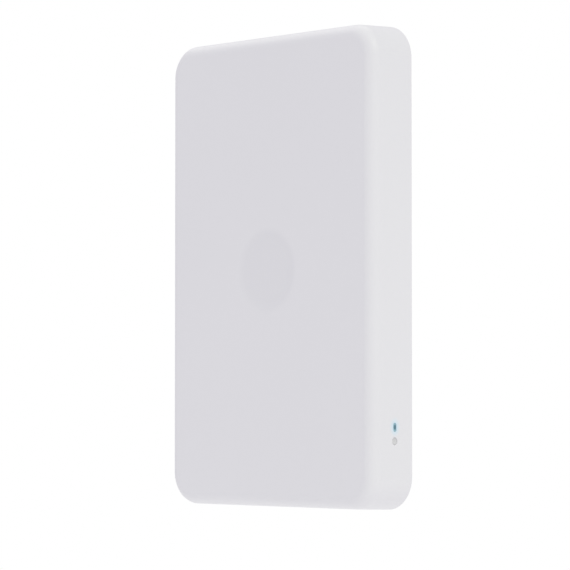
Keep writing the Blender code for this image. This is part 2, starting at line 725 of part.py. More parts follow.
def build_bracket(mount):
    bracket = add(
        "wall_bracket",
        slab(BRACKET_W, BRACKET_H, 8.0, 0.0, -SHEET),
        "zinc_steel",
        mount,
    )
    hooks, lanced = bmesh.new(), bmesh.new()
    foot = HOOK_FOOT_Y - SHEET
    for x, z in HOOKS:
        left, right = x - HOOK_W / 2, x + HOOK_W / 2
        block((left, foot, z - SHEET), (right, -SHEET + 0.5, z), hooks)
        block((left, foot, z - 0.5), (right, HOOK_FOOT_Y, z + HOOK_RISE), hooks)
        slab(HOOK_W + 1.0, 6.0, 1.0, 1.0, -3.0, (x, z - SHEET - 3.3), 3, lanced)
    join(bracket, hooks)
    cut(bracket, lanced)
    middle = (WINDOW_Z[0] + WINDOW_Z[1]) / 2
    cut(bracket, slab(WINDOW_W, WINDOW_Z[1] - WINDOW_Z[0], 4.0, 1.0, -3.0, (0.0, middle), 4))
    slots = bmesh.new()
    radius = SCREW_SLOT_W / 2 - 0.01
    for sign in (-1, 1):
        gang = (0.0, BOX_CENTRE_Z + sign * GANG_PITCH / 2)
        slab(SCREW_SLOT_W, 9.0, radius, 1.0, -3.0, gang, 5, slots)
        box = (sign * ROUND_BOX_PITCH / 2, BOX_CENTRE_Z)
        slab(9.0, SCREW_SLOT_W, radius, 1.0, -3.0, box, 5, slots)
    for x, z in ANCHORS:
        rod((x, -3.0, z), (x, 1.0, z), SCREW_SLOT_W / 2, 16, mesh_of=slots)
    for z in RIVET_Z:
        rod((LATCH_X, -3.0, z), (LATCH_X, 1.0, z), RIVET_R + FIT, 12, mesh_of=slots)
    cut(bracket, slots)


def build_latch(mount):
    """The spring leaf under the bracket, whose nose stops the unit from lifting off."""
    x, near = LATCH_X, -SHEET - STACK
    leaf = slab(LATCH_W, 36.0, 1.5, near, near - 0.4, (x, -72.0), 3)
    latch = add("latch_leaf", leaf, "spring_steel", mount)
    nose = [[(px, y, z) for y, z in (
        (near - 0.2, CATCH_Z + 2.6), (near - 0.2, CATCH_Z - 1.9),
        (near - 2.3, CATCH_Z - 1.9), (near - 2.3, CATCH_Z - 1.3),
    )] for px in (x - 3.2, x + 3.2)]
    join(latch, loft(nose))
    holes = bmesh.new()
    for z in RIVET_Z:
        rod((x, -4.0, z), (x, 0.0, z), RIVET_R + FIT, 12, mesh_of=holes)
    cut(latch, holes)
    for number, z in enumerate(RIVET_Z, 1):
        top = near - 0.4 - STACK
        profile = ((RIVET_R, -0.1), (RIVET_R, top), (2.3, top), (2.2, top - 0.4), (1.2, top - 0.7))
        add(f"latch_rivet_{number}", turned(profile, 16), "spring_steel", mount, (x, 0, z))


def main():
    clear_scene()
    mount = group("wall_mount")
    unit = group("access_point", mount)
    key = group("reset_key", unit, (side_x(SIDE_AXIS_Y), SIDE_AXIS_Y, RESET_Z))
    build_bracket(mount)
    build_latch(mount)
    build_front_cover(unit)
    build_rear_cover(unit)
    build_housing_screws(unit)
    build_pads(unit)
    build_label(unit)
    build_board(unit)
    build_board_screws(unit)
    build_spreader(unit)
    build_shielding(unit)
    build_jack(unit)
    build_power_parts(unit)
    build_board_antennas(unit)
    build_cabled_antennas(unit)
    build_indicator(unit)
    build_reset(unit, key)
    apply_booleans()


main()
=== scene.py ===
import json
import math

import bmesh
import bpy
from mathutils import Matrix, Vector


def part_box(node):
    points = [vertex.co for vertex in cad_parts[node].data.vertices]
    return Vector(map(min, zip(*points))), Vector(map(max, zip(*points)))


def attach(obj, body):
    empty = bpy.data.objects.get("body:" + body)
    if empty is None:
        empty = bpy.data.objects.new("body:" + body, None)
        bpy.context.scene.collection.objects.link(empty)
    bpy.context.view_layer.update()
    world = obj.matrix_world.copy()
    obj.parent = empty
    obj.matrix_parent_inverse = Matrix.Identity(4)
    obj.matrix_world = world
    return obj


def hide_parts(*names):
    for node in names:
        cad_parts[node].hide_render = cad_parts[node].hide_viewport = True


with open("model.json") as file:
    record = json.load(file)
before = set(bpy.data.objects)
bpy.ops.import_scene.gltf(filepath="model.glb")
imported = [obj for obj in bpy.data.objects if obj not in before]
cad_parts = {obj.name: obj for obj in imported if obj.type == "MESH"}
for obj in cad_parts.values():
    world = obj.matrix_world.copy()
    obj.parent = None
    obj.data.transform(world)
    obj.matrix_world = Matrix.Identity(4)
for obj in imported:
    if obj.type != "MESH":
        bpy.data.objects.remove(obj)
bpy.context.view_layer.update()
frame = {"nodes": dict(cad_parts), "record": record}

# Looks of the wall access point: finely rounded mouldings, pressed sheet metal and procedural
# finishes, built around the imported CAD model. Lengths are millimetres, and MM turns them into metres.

MM = 0.001
TAPER = 0.0256  # inset of the side walls for each millimetre forward of the rim
CORNER_R = 14.0
FRONT_EDGE_R = 5.0
WALL = 2.0
RIM_WALL = 1.4
LEDGE_DEPTH = 2.6
EMBLEM_R = 18.0  # round dish in the middle of the front
EMBLEM_DEPTH = 0.25
EMBLEM_SLOPE = 5.0  # width of the dish's sloping edge


def box_mm(node):
    """Lowest and highest corners of a CAD node, in millimetres."""
    low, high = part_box(node)
    return low / MM, high / MM


def middle_mm(node):
    """Middle of a CAD node's box, in millimetres."""
    low, high = box_mm(node)
    return (low + high) / 2


def axis_mm(node):
    """(x, z) of the middle of a CAD node: the axis of a piece that is turned about Y."""
    at = middle_mm(node)
    return at.x, at.z


def span(low, high):
    """Middle and length of the stretch from low to high."""
    return (low + high) / 2, high - low


COVER_LOW, COVER_HIGH = box_mm("front_cover")
BODY_W = COVER_HIGH.x - COVER_LOW.x
BODY_H = COVER_HIGH.z - COVER_LOW.z
FRONT_Y = COVER_LOW.y
RIM_Y = COVER_HIGH.y
BACK_LOW, BACK_HIGH = box_mm("rear_cover")
BACK_Y = BACK_HIGH.y
BACK_T = 2.0
PLATE_LOW, PLATE_HIGH = box_mm("wall_bracket")
PLATE_W = PLATE_HIGH.x - PLATE_LOW.x
PLATE_H = PLATE_HIGH.z - PLATE_LOW.z
SHEET = 1.5
LEAF_LOW, LEAF_HIGH = box_mm("latch_leaf")
LATCH_X = middle_mm("latch_leaf").x
LENS = middle_mm("light_pipe")
KEY = middle_mm("reset_button")
HOUSING_SCREWS = [f"housing_screw_{i}" for i in (1, 2, 3, 4)]
BOARD_SCREWS = [f"board_screw_{i}" for i in (1, 2, 3, 4)]
PADS = [f"rubber_pad_{i}" for i in (1, 2, 3, 4)]
RIVETS = ("latch_rivet_1", "latch_rivet_2")

# Repeated from the CAD design, because a node's box doesn't hold them
HOUSING_BOSS_Y = -4.4  # rear end of the front cover's bosses for the housing screws
BOARD_BOSS_Y = -12.9  # and for the board screws
BOSS_R = 3.0
BOSS_FOOT_R = 4.2
PILOT_R = 1.15  # hole in a boss, wide enough for the screw's thread
CLEAR_R = 1.35  # hole for a screw that passes through
LENS_SLOT = (1.7, 3.6, 0.85)  # width, height and corner radius
CABLE_NOTCH = (14.0, 8.6, 1.6)  # width, depth and corner radius
RELEASE_NOTCH = (10.0, 3.4, 1.0)  # where the latch is pressed to let go
NOTCH_REACH = 6.0  # how far the notches' tools reach past the wall surface
POCKET_Y = -1.9
POCKET_INNER_Y = -3.7
HOOK_TRAVEL = 8.0
POCKET_Z = (PLATE_LOW.z - HOOK_TRAVEL - 1.0, PLATE_HIGH.z + 1.0)
HOOK_ROOM = 2.1  # depth of the room behind the pocket for the hooks
ROOM_BELOW = 1.7  # from the top of a hook's leg, at its lowest, to the room's floor
ROOM_ABOVE = 0.8
ROOM_WALL = 1.2
HOOK_WINDOW_W = 9.0
RECESS_W = 38.0
RECESS_Z = (-54.0, -4.0)
RECESS_Y = -17.8
RECESS_WALL = 1.4
CHANNEL_W = 15.0
CHANNEL_Y = -9.0
CHANNEL_TOP = RECESS_Z[0] + 1.0  # the channel runs 1 mm into the recess
CHANNEL_WALL_Z = -97.4  # lower end of the channels' walls
CHANNEL_OPEN_Z = -101.0  # the channels are cut to here, past the bottom edge
LATCH_CHANNEL_W = 11.0
LATCH_CHANNEL_Y = -3.0
LATCH_WALL_TOP = -50.0
LATCH_BACK_Y = -4.4  # inner face of the latch channel's wall
JACK_REAR_Y = -4.0  # rear edge of the jack's opening
SCREW_SEAT_R = 3.1
PAD_SEAT_R = 4.2
VENT_SIZE = (2.2, 8.0, 1.09)  # cooling slots
VENT_PITCH = 7.0
VENT_COUNT = 12
VENT_Z = (86.0, -91.0)
VENT_GAP_X = (-12.0, 32.0)  # the bottom row leaves this stretch to the channels
HOOK_X = 37.0
HOOK_Z = (50.0, -46.0)  # top of each hook's leg
HOOK_W = 8.0
HOOK_RISE = 5.0
HOOK_FOOT_Y = -4.0
WINDOW_W = 38.0  # cable window
WINDOW_Z = (-38.0, -6.0)
BOX_CENTRE_Z = -20.0
GANG_PITCH = 83.3  # screw distance of a single-gang wall box
ROUND_BOX_PITCH = 60.0  # screw distance of a round wall box
BOX_SLOT = (4.0, 9.0)  # slot for a wall box's screw
ANCHORS = ((-34.0, 66.0), (34.0, 66.0), (-34.0, -66.0), (34.0, -66.0))
RIVET_HOLE = (2.8, 2.8, 1.39)
RIVET_HEAD_R = 2.3
CATCH_Z = -82.0
CATCH_SIZE = (10.0, 6.0, 0.5)
LATCH_W = 8.0
LATCH_T = 0.4
LENS_SIZE = (1.4, 3.3)
KEY_R = 1.4
KEY_HOLE_R = 1.46
KEY_STEM_R = 0.6
KEY_COLLAR_R = 2.2
SCREW_HEAD_R = 2.6
PAD_R = 4.0

# Only in the visual model
SCREW_PITCH = 0.45
SMOOTH_DEG = 32.0  # edges that turn by more than this stay sharp


def side_x(y, inset=0.0):
    """The X of the right side wall at depth y."""
    return BODY_W / 2 - inset - TAPER * (RIM_Y - y)


LENS_FACE = (side_x(LENS.y), LENS.y, LENS.z)


# ---------------------------------------------------------------- mesh tools


def outline(width, height, radius, steps=8):
    """A rounded rectangle as (u, v) pairs, anticlockwise."""
    radius = max(min(radius, width / 2 - 0.001, height / 2 - 0.001), 0.01)
    points = []
    for quarter, (side_u, side_v) in enumerate(((1, 1), (-1, 1), (-1, -1), (1, -1))):
        for step in range(steps + 1):
            angle = math.radians(90 * (quarter + step / steps))
            u = side_u * (width / 2 - radius) + radius * math.cos(angle)
            v = side_v * (height / 2 - radius) + radius * math.sin(angle)
            points.append((u, v))
    return points


def loft(loops, mesh_of=None):
    """A closed skin through loops of equally many points, with a flat cap at each end."""
    mesh_of = mesh_of or bmesh.new()
    rings = [[mesh_of.verts.new(point) for point in loop] for loop in loops]
    for near, far in zip(rings, rings[1:]):
        for i in range(len(near)):
            j = (i + 1) % len(near)
            mesh_of.faces.new((near[i], near[j], far[j], far[i]))
    mesh_of.faces.new(rings[0])
    mesh_of.faces.new(reversed(rings[-1]))
    return mesh_of


def arc(radius, steps=4):
    """Steps of a quarter round: (how far along, how far across), from the outer edge inwards."""
    angles = [math.radians(90 * i / steps) for i in range(steps + 1)]
    return [(radius * (1 - math.cos(a)), radius * (1 - math.sin(a))) for a in angles]


def on_axis(axis, centre, u, v, depth):
    """A point from its place across and along an axis. u and v are measured from centre."""
    a, b = centre
    if axis == "Y":
        return (a + u, depth, b + v)
    if axis == "X":
        return (depth, a + u, b + v)
    return (a + u, b + v, depth)


def stack(size, levels, centre, axis, steps, mesh_of):
    """A skin through rounded rectangles along an axis, one for each (depth, growth) level."""
    width, height, radius = size
    loops = []
    for depth, grow in levels:
        shape = outline(width + 2 * grow, height + 2 * grow, radius + grow, steps)
        loops.append([on_axis(axis, centre, u, v, depth) for u, v in shape])
    return loft(loops, mesh_of)


def cutter(size, near, far, rim=0.3, far_rim=0.0, *, floor=0.0, centre=(0, 0), axis="Y", steps=6,
           mesh_of=None):
    """A tool for a rounded opening, running from near to far along the axis.

    size is width, height and corner radius. rim rounds the edge where it enters and far_rim where it
    leaves. With no far_rim it stops at far, where floor rounds the inside corner.
    """
    way = 1 if far > near else -1
    levels = [(near - 2 * way, rim)] + [(near + way * along, grow) for along, grow in arc(rim)]
    if far_rim:
        levels += [(far - way * along, grow) for along, grow in reversed(arc(far_rim))]
        levels.append((far + 2 * way, far_rim))
    elif floor:
        levels += [(far - way * grow, -along) for along, grow in arc(floor)]
    else:
        levels.append((far, 0.0))
    return stack(size, levels, centre, axis, steps, mesh_of)


def rounded_slab(size, near, far, edge=0.3, centre=(0, 0), axis="Y", steps=8, mesh_of=None):
    """A plate with rounded corners and rounded edges between two depths along the axis."""
    way = 1 if far > near else -1
    rounds = arc(edge)
    levels = [(near + way * along, -across) for along, across in rounds]
    levels += [(far - way * along, -across) for along, across in reversed(rounds)]
    return stack(size, levels, centre, axis, steps, mesh_of)


def lathe(profile, segments=32, centre=(0, 0), axis="Y", mesh_of=None):
    """A solid turned about the axis from (radius, depth) pairs, closed by a flat cap at each end."""
    loops = []
    for radius, depth in profile:
        angles = [2 * math.pi * i / segments for i in range(segments)]
        loops.append([
            on_axis(axis, centre, radius * math.cos(a), radius * math.sin(a), depth) for a in angles
        ])
    return loft(loops, mesh_of)


def round_hole(radius, near, far, rim=0.25, centre=(0, 0), axis="Y", segments=28, mesh_of=None):
    """A tool for a blind round hole with a rounded entry."""
    way = 1 if far > near else -1
    profile = [(radius + rim, near - 2 * way)]
    profile += [(radius + across, near + way * along) for along, across in arc(rim)]
    return lathe(profile + [(radius, far)], segments, centre, axis, mesh_of)


def ribbon(path, thickness):
    """The outline of a bent strip: both sides of a path of (y, z) points, thickness apart."""
    points = [Vector(p) for p in path]
    normals = []
    for i in range(len(points)):
        before = points[max(i - 1, 0)]
        after = points[min(i + 1, len(points) - 1)]
        along = (after - before).normalized()
        normals.append(Vector((-along.y, along.x)))
    left = [p + n * thickness / 2 for p, n in zip(points, normals)]
    right = [p - n * thickness / 2 for p, n in zip(points, normals)]
    return [tuple(p) for p in left + right[::-1]]


def bend(corners, radius, steps=6):
    """A path of (y, z) points with each inner corner turned into a round of that radius."""
    points = [Vector(c) for c in corners]
    path = [tuple(points[0])]
    for before, corner, after in zip(points, points[1:], points[2:]):
        into, out = (before - corner).normalized(), (after - corner).normalized()
        half = into.angle(out) / 2
        reach = radius / math.tan(half)
        middle = corner + (into + out).normalized() * radius / math.sin(half)
        start, end = corner + into * reach - middle, corner + out * reach - middle
        sweep = start.angle_signed(end)
        for step in range(steps + 1):
            angle = -sweep * step / steps
            turn = Matrix.Rotation(angle, 2)
            path.append(tuple(middle + turn @ start))
    path.append(tuple(points[-1]))
    return path


def extrude_x(profile, x_low, x_high, edge=0.15, mesh_of=None):
    """A (y, z) outline drawn out along X. edge sets its end faces in, for a softened cut edge."""
    loops = []
    for x, inset in ((x_low, edge), (x_low + edge, 0.0), (x_high - edge, 0.0), (x_high, edge)):
        loops.append([(x, *inwards(p, profile, i, inset)) for i, p in enumerate(profile)])
    return loft(loops, mesh_of)


def inwards(point, profile, i, inset):
    """A profile's point moved inwards along the mean normal of its two sides."""
    before, here = Vector(profile[i - 1]), Vector(point)
    after = Vector(profile[(i + 1) % len(profile)])
    side_a, side_b = (here - before).normalized(), (after - here).normalized()
    normal = Vector((-(side_a.y + side_b.y), side_a.x + side_b.x))
    if normal.length < 1e-6:
        return tuple(here)
    turning = sum(a[0] * b[1] - b[0] * a[1] for a, b in zip(profile, profile[1:] + profile[:1]))
    return tuple(here + normal.normalized() * inset * (1 if turning > 0 else -1))


def new_object(name, mesh_of):
    """Turns a bmesh in millimetres into an object of the scene, which is in metres."""
    bmesh.ops.recalc_face_normals(mesh_of, faces=mesh_of.faces)
    bmesh.ops.scale(mesh_of, vec=(MM, MM, MM), verts=mesh_of.verts)
    mesh = bpy.data.meshes.new(name)
    mesh_of.to_mesh(mesh)
    mesh_of.free()
    made = bpy.data.objects.new(name, mesh)
    bpy.context.scene.collection.objects.link(made)
    return made


def combine(target, mesh_of, operation):
    """Applies one exact Boolean to the target, with a bmesh in millimetres as its tool."""
    tool = new_object("tool", mesh_of)
    step = target.modifiers.new(operation, "BOOLEAN")
    step.operation = operation
    step.object = tool
    step.solver = "EXACT"
    step.use_self = True
    graph = bpy.context.evaluated_depsgraph_get()
    result = bpy.data.meshes.new_from_object(target.evaluated_get(graph))
    target.modifiers.clear()
    target.data = result
    bpy.data.objects.remove(tool)


def join(target, mesh_of):
    """Adds a bmesh in millimetres to the target."""
    combine(target, mesh_of, "UNION")


def cut(target, mesh_of):
    """Takes a bmesh in millimetres away from the target."""
    combine(target, mesh_of, "DIFFERENCE")


def finish_piece(piece, body, slot, *replaced):
    """Shades a piece, gives it its slot's look, ties it to its body, and hides the CAD nodes it replaces.
    """
    mesh = piece.data
    mesh.shade_smooth()
    mesh.set_sharp_from_angle(angle=math.radians(SMOOTH_DEG))
    weights = piece.modifiers.new("weighted_normals", "WEIGHTED_NORMAL")
    weights.keep_sharp = True
    weights.weight = 100
    mesh.materials.clear()
    mesh.materials.append(LOOKS[slot])
    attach(piece, body)
    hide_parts(*replaced)


# ---------------------------------------------------------------- materials


def shader_of(name, roughness, metallic=0.0, **sockets):
    """A new material and the handles to build its nodes with."""
    look = bpy.data.materials.new(name)
    look.use_nodes = True
    nodes, links = look.node_tree.nodes, look.node_tree.links
    shader = nodes["Principled BSDF"]
    shader.inputs["Roughness"].default_value = roughness
    shader.inputs["Metallic"].default_value = metallic
    for socket, value in sockets.items():
        shader.inputs[socket.replace("_", " ")].default_value = value
    return look, nodes, links, shader


def noise(nodes, links, scale, detail=3.0, stretch=(1, 1, 1)):
    """Noise over the object's own space, scale in features per metre along each stretched axis."""
    place = nodes.new("ShaderNodeTexCoord")
    size = nodes.new("ShaderNodeMapping")
    size.inputs["Scale"].default_value = stretch
    pattern = nodes.new("ShaderNodeTexNoise")
    pattern.inputs["Scale"].default_value = scale
    pattern.inputs["Detail"].default_value = detail
    links.new(place.outputs["Object"], size.inputs["Vector"])
    links.new(size.outputs["Vector"], pattern.inputs["Vector"])
    return pattern.outputs["Fac"]


def spread(nodes, links, value, low, high):
    """Maps a noise's middle range onto low to high."""
    ramp = nodes.new("ShaderNodeMapRange")
    ramp.inputs["From Min"].default_value = 0.3
    ramp.inputs["From Max"].default_value = 0.7
    ramp.inputs["To Min"].default_value = low
    ramp.inputs["To Max"].default_value = high
    links.new(value, ramp.inputs["Value"])
    return ramp.outputs["Result"]


def tinted(nodes, links, value, start, end):
    """A colour that goes from start to end as a value goes from 0 to 1."""
    mix = nodes.new("ShaderNodeMix")
    mix.data_type = "RGBA"
    mix.inputs["A"].default_value = (*start, 1.0)
    mix.inputs["B"].default_value = (*end, 1.0)
    links.new(value, mix.inputs["Factor"])
    return mix.outputs["Result"]


def over(nodes, links, factor, base, colour, mode="MIX"):
    """A colour laid over the base, by a factor from 0 to 1."""
    mix = nodes.new("ShaderNodeMix")
    mix.data_type = "RGBA"
    mix.blend_type = mode
    mix.inputs["B"].default_value = (*colour, 1.0)
    links.new(factor, mix.inputs["Factor"])
    links.new(base, mix.inputs["A"])
    return mix.outputs["Result"]


def bump(nodes, links, shader, height, depth_mm):
    """A relief of the given depth on the shader, from a height between 0 and 1."""
    made = nodes.new("ShaderNodeBump")
    made.inputs["Distance"].default_value = depth_mm * MM
    made.inputs["Strength"].default_value = 1.0
    links.new(height, made.inputs["Height"])
    links.new(made.outputs["Normal"], shader.inputs["Normal"])


def grained(name, colour, roughness, grain_mm, grain_depth, metallic=0.0, vary=0.04, stretch=(1, 1, 1),
            **sockets):
    """A moulded or rolled finish: fine grain, uneven gloss and a slow drift of tone."""
    look, nodes, links, shader = shader_of(name, roughness, metallic, **sockets)
    drift = noise(nodes, links, 18.0, 2.0)
    dark = [c * (1 - vary) for c in colour]
    light = [min(c * (1 + vary), 1.0) for c in colour]
    links.new(tinted(nodes, links, spread(nodes, links, drift, 0, 1), dark, light),
              shader.inputs["Base Color"])
    fine = noise(nodes, links, 1000.0 / grain_mm, 2.0, stretch)
    gloss = spread(nodes, links, fine, roughness * 0.9, min(roughness * 1.12, 1.0))
    links.new(gloss, shader.inputs["Roughness"])
    bump(nodes, links, shader, fine, grain_depth)
    return look


SHELL_WHITE = (0.800, 0.795, 0.830)
EMBLEM_TONE = (0.966, 0.966, 0.970)  # how much of the shell's tone the round dish keeps
PAINTED_GLOW_TONE = (0.66, 0.80, 0.90)  # painted blue glow: the lit indicator's light, painted into the shell's colour right beside it


def white_shell():
    """Satin white polycarbonate, a little darker in the round dish, with the indicator's blue light
    painted onto it as a glow beside the indicator.
    """
    look, nodes, links, shader = shader_of("white_shell", 0.42)
    place = nodes.new("ShaderNodeTexCoord")
    emblem = near_point(nodes, links, place, (0.0, FRONT_Y, 0.0), EMBLEM_R - 3.0, EMBLEM_R + 1.0)
    drift = noise(nodes, links, 14.0, 2.0)
    dark = [c * 0.992 for c in SHELL_WHITE]
    body = tinted(nodes, links, spread(nodes, links, drift, 0, 1), dark, SHELL_WHITE)
    marked = over(nodes, links, emblem, body, EMBLEM_TONE, "MULTIPLY")
    # painted glow of the lit indicator: the shell's colour turns blue around its slot
    painted_glow = near_point(nodes, links, place, LENS_FACE, 0.8, 3.1, (1, 1, 0.68))
    links.new(over(nodes, links, painted_glow, marked, PAINTED_GLOW_TONE), shader.inputs["Base Color"])
    fine = noise(nodes, links, 2400.0, 2.0)
    links.new(spread(nodes, links, fine, 0.38, 0.47), shader.inputs["Roughness"])
    bump(nodes, links, shader, fine, 0.010)
    return look


def near_point(nodes, links, place, point_mm, inner_mm, outer_mm, squeeze=(1, 1, 1)):
    """1 within inner_mm of a point, falling to 0 at outer_mm. squeeze scales the space around it."""
    shift = nodes.new("ShaderNodeVectorMath")
    shift.operation = "SUBTRACT"
    shift.inputs[1].default_value = Vector(point_mm) * MM
    size = nodes.new("ShaderNodeVectorMath")
    size.operation = "MULTIPLY"
    size.inputs[1].default_value = squeeze
    far = nodes.new("ShaderNodeVectorMath")
    far.operation = "LENGTH"
    fall = nodes.new("ShaderNodeMapRange")
    fall.interpolation_type = "SMOOTHSTEP"
    fall.inputs["From Min"].default_value = inner_mm * MM
    fall.inputs["From Max"].default_value = outer_mm * MM
    fall.inputs["To Min"].default_value = 1.0
    fall.inputs["To Max"].default_value = 0.0
    links.new(place.outputs["Object"], shift.inputs[0])
    links.new(shift.outputs["Vector"], size.inputs[0])
    links.new(size.outputs["Vector"], far.inputs[0])
    links.new(far.outputs["Value"], fall.inputs["Value"])
    return fall.outputs["Result"]


def key_plastic():
    """Light grey key with a painted shadow: darker towards its top, where the edge of its hole would
    shade it.
    """
    look, nodes, links, shader = shader_of("key_plastic", 0.45)
    place = nodes.new("ShaderNodeTexCoord")
    # painted shadow of the hole's upper edge: the key's colour darkens towards its top
    painted_top_shadow = near_point(nodes, links, place, (KEY.x, KEY.y, KEY.z + 1.3), 0.2, 3.0, (0, 1, 1))
    links.new(tinted(nodes, links, painted_top_shadow, (0.70, 0.70, 0.715), (0.61, 0.61, 0.62)),
              shader.inputs["Base Color"])
    fine = noise(nodes, links, 3300.0, 2.0)
    links.new(spread(nodes, links, fine, 0.40, 0.50), shader.inputs["Roughness"])
    bump(nodes, links, shader, fine, 0.004)
    return look


def indicator():
    """Clear lens lit blue from behind, with that light painted into its colour: deepest blue in its
    middle and paler towards its ends, and only a faint emission.
    """
    look, nodes, links, shader = shader_of("indicator_blue", 0.18)
    place = nodes.new("ShaderNodeTexCoord")
    # painted light of the indicator: blue colour in place of its glow, deepest in the middle
    painted_light_core = near_point(nodes, links, place, LENS_FACE, 0.3, 0.95, (1, 1, 0.50))
    links.new(tinted(nodes, links, painted_light_core, (0.41, 0.63, 0.70), (0.085, 0.165, 0.20)),
              shader.inputs["Base Color"])
    shader.inputs["Emission Color"].default_value = (0.10, 0.55, 0.90, 1.0)
    shader.inputs["Emission Strength"].default_value = 0.05
    return look


def circuit_board():
    """Green solder mask with a relief of tracks."""
    look, nodes, links, shader = shader_of("board_green", 0.35, Coat_Weight=0.3)
    place = nodes.new("ShaderNodeTexCoord")
    tracks = nodes.new("ShaderNodeTexBrick")
    tracks.inputs["Scale"].default_value = 90.0
    tracks.inputs["Mortar Size"].default_value = 0.035
    tracks.inputs["Color1"].default_value = (0.012, 0.090, 0.052, 1.0)
    tracks.inputs["Color2"].default_value = (0.015, 0.105, 0.060, 1.0)
    tracks.inputs["Mortar"].default_value = (0.035, 0.190, 0.105, 1.0)
    swap = nodes.new("ShaderNodeMapping")
    swap.inputs["Rotation"].default_value = (math.radians(90), 0, 0)
    links.new(place.outputs["Object"], swap.inputs["Vector"])
    links.new(swap.outputs["Vector"], tracks.inputs["Vector"])
    links.new(tracks.outputs["Color"], shader.inputs["Base Color"])
    bump(nodes, links, shader, tracks.outputs["Fac"], 0.03)
    return look


def zinc():
    """Zinc-plated sheet: fine rolling lines along its height and a faint crystal pattern."""
    look, nodes, links, shader = shader_of("zinc_steel", 0.36, 1.0)
    place = nodes.new("ShaderNodeTexCoord")
    crystals = nodes.new("ShaderNodeTexVoronoi")
    crystals.inputs["Scale"].default_value = 380.0
    links.new(place.outputs["Object"], crystals.inputs["Vector"])
    shade = nodes.new("ShaderNodeSeparateColor")
    links.new(crystals.outputs["Color"], shade.inputs["Color"])
    links.new(tinted(nodes, links, shade.outputs["Red"], (0.49, 0.50, 0.52), (0.55, 0.56, 0.58)),
              shader.inputs["Base Color"])
    rolled = noise(nodes, links, 900.0, 3.0, (1.0, 1.0, 0.03))
    links.new(spread(nodes, links, rolled, 0.30, 0.44), shader.inputs["Roughness"])
    bump(nodes, links, shader, rolled, 0.004)
    return look


LOOKS = {
    "white_shell": white_shell(),
    "rear_plastic": grained("rear_plastic", (0.76, 0.76, 0.785), 0.55, 0.45, 0.012, vary=0.012),
    "key_plastic": key_plastic(),
    "zinc_steel": zinc(),
    "spring_steel": grained("spring_steel", (0.66, 0.66, 0.64), 0.24, 0.20, 0.002, 1.0,
                            stretch=(1, 1, 0.05)),
    "screw_steel": grained("screw_steel", (0.42, 0.42, 0.43), 0.28, 0.25, 0.003, 1.0),
    "cast_aluminium": grained("cast_aluminium", (0.72, 0.73, 0.74), 0.45, 0.60, 0.015, 1.0),
    "tin_plate": grained("tin_plate", (0.78, 0.78, 0.76), 0.26, 1.2, 0.004, 1.0),
    "gold_plate": grained("gold_plate", (0.90, 0.66, 0.28), 0.22, 0.20, 0.002, 1.0),
    "board_green": circuit_board(),
    "black_plastic": grained("black_plastic", (0.022, 0.022, 0.023), 0.50, 0.35, 0.010, vary=0.10),
    "chip_black": grained("chip_black", (0.020, 0.020, 0.022), 0.38, 0.25, 0.006, vary=0.08),
    "thermal_pad": grained("thermal_pad", (0.46, 0.56, 0.70), 0.85, 0.80, 0.020, vary=0.05),
    "rubber": grained("rubber", (0.055, 0.055, 0.060), 0.80, 0.50, 0.020, vary=0.10),
    "cable_black": grained("cable_black", (0.025, 0.025, 0.025), 0.45, 0.60, 0.004, vary=0.10),
    "label_film": grained("label_film", (0.84, 0.84, 0.83), 0.50, 0.60, 0.002, vary=0.01),
    "indicator_blue": indicator(),
}


# ---------------------------------------------------------------- front cover


def body_loop(y, inset, steps=20):
    """The body's rounded outline at depth y, moved in by inset, following the side taper."""
    total = inset + TAPER * (RIM_Y - y)
    shape = outline(BODY_W - 2 * total, BODY_H - 2 * total, max(CORNER_R - total, 0.6), steps)
    return [(x, y, z) for x, z in shape]


def front_round(front_y, inset, radius, steps):
    """Loops of the rounded front edge, from the flat face to the side wall."""
    loops = []
    for step in range(steps + 1):
        angle = math.radians(90 * step / steps)
        y = front_y + radius * (1 - math.cos(angle))
        loops.append(body_loop(y, inset + radius * (1 - math.sin(angle))))
    return loops


def screw_bosses():
    """(axis of the screw, its front end, rear end of its boss) for each screw in the front cover."""
    rows = [(s, HOUSING_BOSS_Y) for s in HOUSING_SCREWS] + [(s, BOARD_BOSS_Y) for s in BOARD_SCREWS]
    return [(axis_mm(screw), box_mm(screw)[0].y, top) for screw, top in rows]


def cover_shell():
    """The front cover without its openings: outer skin, rim with the rear cover's ledge, inner skin."""
    inner_y = FRONT_Y + WALL
    ledge_y = RIM_Y - LEDGE_DEPTH
    outer = front_round(FRONT_Y, 0.0, FRONT_EDGE_R, 16)
    lip = [body_loop(RIM_Y - along, across) for along, across in reversed(arc(0.4))]
    seam = [
        body_loop(RIM_Y, RIM_WALL - 0.15),
        body_loop(RIM_Y - 0.15, RIM_WALL),
        body_loop(ledge_y, RIM_WALL),
        body_loop(ledge_y, WALL),
    ]
    inner = front_round(inner_y, WALL, FRONT_EDGE_R - WALL, 8)
    return new_object("front_shell", loft(outer + lip + seam + inner[::-1]))


def add_bosses(cover):
    """Screw bosses with a flared foot on the inner face, each with its pilot hole."""
    inner_y = FRONT_Y + WALL
    foot = [(BOSS_FOOT_R, inner_y - 0.6), (BOSS_FOOT_R, inner_y), (3.4, inner_y + 0.3)]
    foot.append((BOSS_R, inner_y + 0.9))
    bosses, holes = bmesh.new(), bmesh.new()
    for at, tip, top in screw_bosses():
        lathe(foot + [(BOSS_R, top - 0.2), (2.8, top)], 28, at, mesh_of=bosses)
        round_hole(PILOT_R, top, tip - 1.0, 0.2, at, segments=20, mesh_of=holes)
    join(cover, bosses)
    cut(cover, holes)


